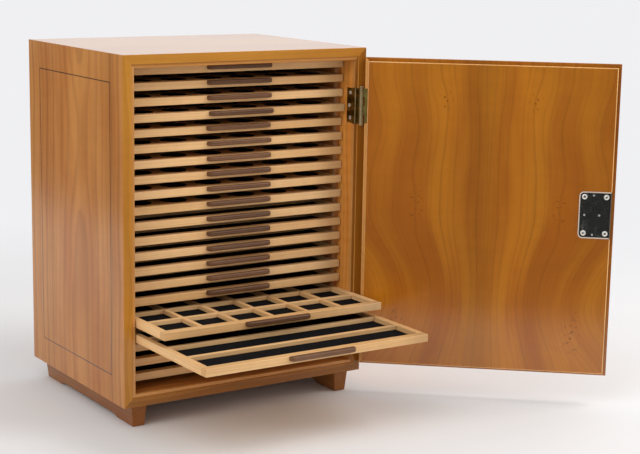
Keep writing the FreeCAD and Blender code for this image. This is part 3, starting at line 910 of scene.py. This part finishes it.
def make_felt(number):
    """The felt laid in a tray, a little uneven."""
    left, right, front, back, bottom = tray_inside(number)
    top = bottom + felt_thickness
    bm = bmesh.new()
    grid = []
    for j in range(felt_rows + 1):
        y = front + (back - front) * j / felt_rows
        row = []
        for i in range(felt_columns + 1):
            x = left + (right - left) * i / felt_columns
            lift = noise.noise(Vector((x * felt_wave, y * felt_wave, number * felt_wave_step)))
            row.append(bm.verts.new((x, y, top - felt_sag * (0.5 - 0.5 * lift))))
        grid.append(row)
    for front_row, back_row in zip(grid, grid[1:]):
        for i in range(felt_columns):
            bm.faces.new((front_row[i], front_row[i + 1], back_row[i + 1], back_row[i]))
    rim = (
        grid[0]
        + [row[-1] for row in grid[1:]]
        + grid[-1][-2::-1]
        + [row[0] for row in grid[-2:0:-1]]
    )
    feet = [bm.verts.new((v.co.x, v.co.y, bottom)) for v in rim]
    for index, vert in enumerate(rim):
        after = (index + 1) % len(rim)
        bm.faces.new((vert, feet[index], feet[after], rim[after]))
    bm.faces.new(list(reversed(feet)))
    body = f"tray_{number:02d}"
    piece = as_piece(f"{body}_felt", bm, body, ["felt"])


def make_insert(number):
    """A board with rows of round wells, lined in black, laid on the felt."""
    left, right, front, back, lining = tray_inside(number)
    left, right = left + insert_gap, right - insert_gap
    front, back = front + insert_gap, back - insert_gap
    body = f"tray_{number:02d}"
    top = place_of(body)[1].z - insert_drop
    cell = Vector(((right - left) / column_count, (back - front) / row_count))
    bm = bmesh.new()
    for row in range(row_count):
        for column in range(column_count):
            middle = (left + (column + 0.5) * cell.x, front + (row + 0.5) * cell.y)
            make_well(bm, middle, cell, top)
    bmesh.ops.remove_doubles(bm, verts=bm.verts, dist=well_weld)
    rim = [edge for edge in bm.edges if len(edge.link_faces) == 1]
    for made in bmesh.ops.extrude_edge_only(bm, edges=rim)["geom"]:
        if isinstance(made, bmesh.types.BMVert):
            made.co.z = lining + felt_thickness
    feet = [edge for edge in bm.edges if len(edge.link_faces) == 1]
    bmesh.ops.holes_fill(bm, edges=feet)
    as_piece(f"{body}_insert", bm, body, ["insert", "felt"])


def make_well(bm, middle, cell, top):
    """One cell of an insert board: its flat top, and its well with a softened rim and foot."""
    cx, cy = middle
    floor = top - well_depth
    angles = [2 * math.pi * (k + 0.5) / well_sides for k in range(well_sides)]
    square = []
    for angle in angles:
        c, s = math.cos(angle), math.sin(angle)
        reach = min(cell.x / 2 / max(abs(c), 1e-6), cell.y / 2 / max(abs(s), 1e-6))
        square.append((cx + reach * c, cy + reach * s, top))
    profile = (
        (well_radius + well_rim, top),
        (well_radius, top - well_rim),
        (well_radius, floor + well_foot),
        (well_radius - well_foot, floor),
    )
    rings = circles(profile, angles, middle)
    loft(bm, [square, rings[0]], cap_ends=False)
    loft(bm, rings, material=1, cap_ends=False)
    bm.faces.new([bm.verts.new(point) for point in rings[-1]]).material_index = 1
    make_cell_corners(bm, square, middle, cell, top)


def make_cell_corners(bm, square, middle, cell, top):
    """Fills the corners of a cell that its ring of points cuts across."""
    cx, cy = middle

    def on_side(point):
        return abs(abs(point.x - cx) - cell.x / 2) < 1e-4

    for index, point in enumerate(square):
        first, second = Vector(point), Vector(square[(index + 1) % len(square)])
        if on_side(first) == on_side(second):
            continue
        tip = (
            cx + math.copysign(cell.x / 2, first.x - cx),
            cy + math.copysign(cell.y / 2, first.y - cy),
            top,
        )
        bm.faces.new([bm.verts.new(place) for place in (first, tip, second)])


def make_pull(number):
    """A bar with rounded ends and a softened front."""
    name = f"pull_{number:02d}"
    low, high = place_of(name)
    levels = [
        (pull_edge_radius * (1 - math.sin(turn)), low.z + pull_edge_radius * (1 - math.cos(turn)))
        for turn in quarter_turns(pull_edge_steps)
    ]
    levels += [(inset, low.z + high.z - z) for inset, z in reversed(levels)]
    turns = quarter_turns(pull_end_steps)
    rings = []
    for inset, z in levels:
        radius = pull_end_radius - inset
        left, right, front = low.x + inset, high.x - inset, low.y + inset
        arc = [(radius * (1 - math.cos(turn)), radius * (1 - math.sin(turn))) for turn in turns]
        ring = [(right, high.y, z), (left, high.y, z)]
        ring += [(left + x, front + y, z) for x, y in arc]
        ring += [(right - x, front + y, z) for x, y in reversed(arc)]
        rings.append(ring)
    bm = bmesh.new()
    loft(bm, rings)
    as_piece(f"{name}_bar", bm, f"tray_{number:02d}", ["pull"], [name])


def make_trays():
    """Every tray with its felt, its insert board and its pull."""
    for number in range(1, tray_count + 1):
        wood_piece = make_tray_wood(number)
        make_felt(number)
        if number in drilled_trays:
            make_insert(number)
        make_pull(number)


# Screws, hinges, lock

def crossed_screw(head, dome, shank, length, recess):
    """A raised screw along its third direction with a crossed recess, its rim at zero."""
    profile = [(shank, -length), (shank, -head * 0.5), (head, 0.0)]
    for turn in quarter_turns(dome_steps)[1:]:
        profile.append((head * math.cos(turn * 0.92), dome * math.sin(turn)))
    bm = bmesh.new()
    angles = [2 * math.pi * index / screw_sides for index in range(screw_sides)]
    loft(bm, circles(profile, angles))
    arm, thick = head * 0.56, head * 0.15
    for along_x in (True, False):
        cutter = bmesh.new()
        rings = []
        for share, z in ((0.35, dome - recess), (1.0, dome + 0.2)):
            a, t = arm * share, thick * (0.6 + 0.4 * share)
            x, y = (a, t) if along_x else (t, a)
            rings.append([(-x, -y, z), (x, -y, z), (x, y, z), (-x, y, z)])
        loft(cutter, rings)
        bm = carved(bm, cutter)
    # Faces inside the cross recess take the second material, darker to paint the shade in it.
    for face in bm.faces:
        centre = face.calc_center_median()
        off = math.hypot(centre.x, centre.y)
        crown = dome * math.sqrt(max(0.0, 1 - (off / head) ** 2))
        face.material_index = int(off < arm * 1.1 and 0 < crown - centre.z - 0.1 < recess)
    return bm


def scattered(unit, places):
    """Copies of a shape at several matrices, in one shape."""
    mesh = bpy.data.meshes.new("work")
    unit.to_mesh(mesh)
    unit.free()
    bm = bmesh.new()
    for matrix in places:
        mesh.transform(matrix)
        bm.from_mesh(mesh)
        mesh.transform(matrix.inverted())
    bpy.data.meshes.remove(mesh)
    return bm


def is_crank_arris(first, second):
    """Whether an edge is where a wall leaf turns across the bead."""
    return on_upright(first, second, inner_right) and first.y < 1.0


def brighten_barrel(bm):
    """Gives the knuckles of a hinge its second material, worn brass whose paler colour also paints
    their highlight.
    """
    middle = (hinge_axis - corner) / MM
    for face in bm.faces:
        centre = face.calc_center_median()
        if math.hypot(centre.x - middle.x, centre.y - middle.y) < knuckle_reach:
            face.material_index = 1


def make_hinges():
    """Both leaves with their knuckles, and the pins."""
    for node, look, body in (
        ("hinge_cabinet_leaves", "brass", "carcass"),
        ("hinge_door_leaves", "brass_door", "door"),
    ):
        bm = cad_copy(node, on_door=body == "door")
        # The crank's rounded arris takes the second material, worn brass whose paler colour also
        # paints the highlight it catches.
        if body == "carcass":
            ease(bm, crank_radius, is_crank_arris, segments=4, material=1)
        ease(bm, leaf_easing, segments=2, shortest=1.0)
        brighten_barrel(bm)
        as_node(node, bm, body, [look, "brass_worn_and_highlight"])
    bm = cad_copy("hinge_pins")
    ease(bm, pin_easing, shortest=0.1, sharpest=square_angle)
    as_node("hinge_pins", bm, "carcass", ["brass_worn_and_highlight"])


def hinge_screw_points(x, rows):
    """Where the screws of both hinges sit on a face across the carcass."""
    return [
        (x, y, bottom + hinge_length * share)
        for bottom in hinge_bottoms
        for y, share in zip(rows, hinge_screw_shares)
    ]


def make_screws():
    """The screws of the wall leaves, the door leaves and the lock, each turned its own way."""
    draw = random.Random(7)
    half = lock_height / 2 - lock_screw_inset
    lock_points = [
        (x, cover_face, z)
        for x in (plug_left + lock_screw_inset, plug_left + lock_width - lock_screw_inset)
        for z in (lock_centre - half, lock_centre + half)
    ]
    wall_points = hinge_screw_points(inner_right, wall_screw_rows)
    edge_points = hinge_screw_points(plug_right, door_screw_rows)
    for name, body, look, screw, direction, points, replaces in (
        ("wall_screws", "carcass", "screw", hinge_screw, (-1, 0, 0), wall_points,
         ["hinge_cabinet_screws"]),
        ("door_edge_screws", "door", "screw", hinge_screw, (1, 0, 0), edge_points, ["door_screws"]),
        ("lock_screws", "door", "screw_bright", lock_screw, (0, 1, 0), lock_points, []),
    ):
        places = [
            facing(direction, point) @ Matrix.Rotation(draw.uniform(0, math.pi / 2), 4, "Z")
            for point in points
        ]
        screws = scattered(crossed_screw(**screw), places)
        as_piece(name, screws, body, [look, "recess"], replaces)


def make_door():
    """The board with its lip, and the chamfer round its plug in its second material, a paler tone that
    paints the chamfer's highlight.
    """
    bm = cad_copy("door_panel", on_door=True)
    low, high = chamfer_slopes
    for face in bm.faces:
        raised = face.calc_center_median().y > plug_face - chamfer_depth
        face.material_index = int(raised and low < face.normal.y < high)
    ease(bm, door_easing, shortest=shortest_door_edge)
    as_node("door_panel", bm, "door", ["door", "door_chamfer_highlight"])


def make_lock():
    """The lock's case with a darker strip along its edge, its cover with rivets, and its bolt."""
    strip = plug_left + lock_edge_strip
    for node, looks, slot, easing in (
        ("lock_case", ["nickel", "case_edge"], "lock_nickel", 0.25),
        ("lock_cover", ["cover", "rivet"], "lock_dark_steel", 0.15),
        ("lock_bolt", ["bolt"], "bolt_steel", 0.3),
    ):
        bm = cad_copy(node, on_door=True)
        ease(bm, easing, segments=2, sharpest=square_angle)
        if node == "lock_case":
            everything = list(bm.verts) + list(bm.edges) + list(bm.faces)
            bmesh.ops.bisect_plane(bm, geom=everything, plane_co=(strip, 0, 0), plane_no=(1, 0, 0))
            for face in bm.faces:
                face.material_index = int(face.calc_center_median().x < strip)
        if node == "lock_cover":
            for face in bm.faces:
                rises = max(vert.co.y for vert in face.verts) > cover_face + rivet_rise
                face.material_index = int(rises)
        as_node(node, bm, "lock_bolt" if node == "lock_bolt" else "door", looks)


# Floor, lights and camera

def make_floor():
    """White table: it fades into the backdrop, and what shines back sees where it ends."""
    made, tree, shader = new_material("floor_white")
    place = add_node(tree, "TexCoord").outputs["Object"]
    mottle = noise_of(tree, place, 3.0, 3.0)
    fill(tree, shader, {
        "Base Color": blend_colour(tree, mottle, (0.77, 0.765, 0.76, 1.0), (0.80, 0.795, 0.79, 1.0)),
        "Roughness": 0.9,
        "Specular IOR Level": 0.1,
    })
    rays, shiny = shiny_rays(tree)
    seen = calc(tree, "MAXIMUM", rays["Is Camera Ray"], shiny)
    length = vector_calc(tree, "LENGTH", place, output=1)
    fade = times(tree, ramp(tree, length, *table_fade), seen)
    off_hinge = vector_calc(tree, "SUBTRACT", place, hinge_axis)
    inward = swing.to_3x3() @ Vector((0, 1, 0))
    ahead = vector_calc(tree, "DOT_PRODUCT", off_hinge, inward, output=1)
    across = split(tree, place)[0]
    on_table = times(
        tree,
        ramp(tree, ahead, table_ahead + ahead_blur, table_ahead - ahead_blur),
        ramp(tree, across, table_left - left_blur, table_left + left_blur),
    )
    off_table = times(tree, minus(tree, 1.0, on_table), shiny)
    glow = blend_colour(tree, off_table, backdrop, studio_dark)
    emission = add_node(tree, "Emission", {"Color": glow})
    inputs = {0: calc(tree, "MAXIMUM", fade, off_table), 1: shader.outputs[0], 2: emission.outputs[0]}
    mixed = add_node(tree, "MixShader", inputs)
    fill(tree, tree.nodes["Material Output"], {"Surface": mixed.outputs[0]})
    mesh = bpy.data.meshes.new("floor")
    bm = bmesh.new()
    bmesh.ops.create_circle(bm, cap_ends=True, radius=floor_radius, segments=96)
    bm.to_mesh(mesh)
    bm.free()
    mesh.materials.append(made)
    floor = add_object("floor", mesh)
    floor.location.z = -floor_drop


def make_world():
    """Even studio light; what shines back is bright behind on the left and dark elsewhere."""
    world = bpy.data.worlds.new("studio")
    world.use_nodes = True
    bpy.context.scene.world = world
    tree = world.node_tree
    parts = split(tree, add_node(tree, "TexCoord").outputs["Generated"])
    behind = times(tree, ramp(tree, parts[1], -0.2, 0.3), ramp(tree, parts[0], -0.5, -0.1))
    rays, shiny = shiny_rays(tree)
    studio = blend_colour(tree, behind, studio_dark, backdrop_shine)
    colour = blend_colour(tree, shiny, ambient, studio)
    colour = blend_colour(tree, rays["Is Camera Ray"], colour, backdrop)
    fill(tree, tree.nodes["Background"], {"Color": colour})


def softbox(name, direction, reach, size, level):
    """An area lamp that gives a plain level of light on the cabinet from a direction."""
    toward = Vector(direction).normalized()
    lamp = bpy.data.lights.new(name, "AREA")
    lamp.shape = "RECTANGLE"
    lamp.size, lamp.size_y = size
    lamp.energy = level * (math.pi * reach) ** 2
    item = add_object(name, lamp)
    item.location = Vector(lamp_target) + toward * reach
    item.rotation_mode = "QUATERNION"
    item.rotation_quaternion = (-toward).to_track_quat("-Z", "Y")
    item.visible_camera = False


def make_camera():
    """The camera at its place, turned and tilted by its angles."""
    azimuth, elevation, roll = (math.radians(angle) for angle in camera_angles)
    forward = Vector((
        math.sin(azimuth) * math.cos(elevation),
        math.cos(azimuth) * math.cos(elevation),
        -math.sin(elevation),
    ))
    right = forward.cross(Vector((0, 0, 1))).normalized()
    up = right.cross(forward)
    tilted_right = right * math.cos(roll) + up * math.sin(roll)
    tilted_up = up * math.cos(roll) - right * math.sin(roll)
    turn = Matrix((tilted_right, tilted_up, -forward)).transposed()
    lens = bpy.data.cameras.new("camera")
    lens.sensor_fit = "HORIZONTAL"
    lens.sensor_width = 36.0
    lens.lens = lens.sensor_width * camera_focus
    item = add_object("camera", lens)
    place = corner + Vector(camera_place) * height * MM
    item.matrix_world = Matrix.Translation(place) @ turn.to_4x4()
    bpy.context.scene.camera = item


make_carcass()
make_trays()
make_hinges()
make_screws()
make_door()
make_lock()
make_floor()
make_world()
for name, lamp in lamps.items():
    softbox(name, *lamp)
make_camera()
bpy.context.scene.view_settings.view_transform = "Standard"
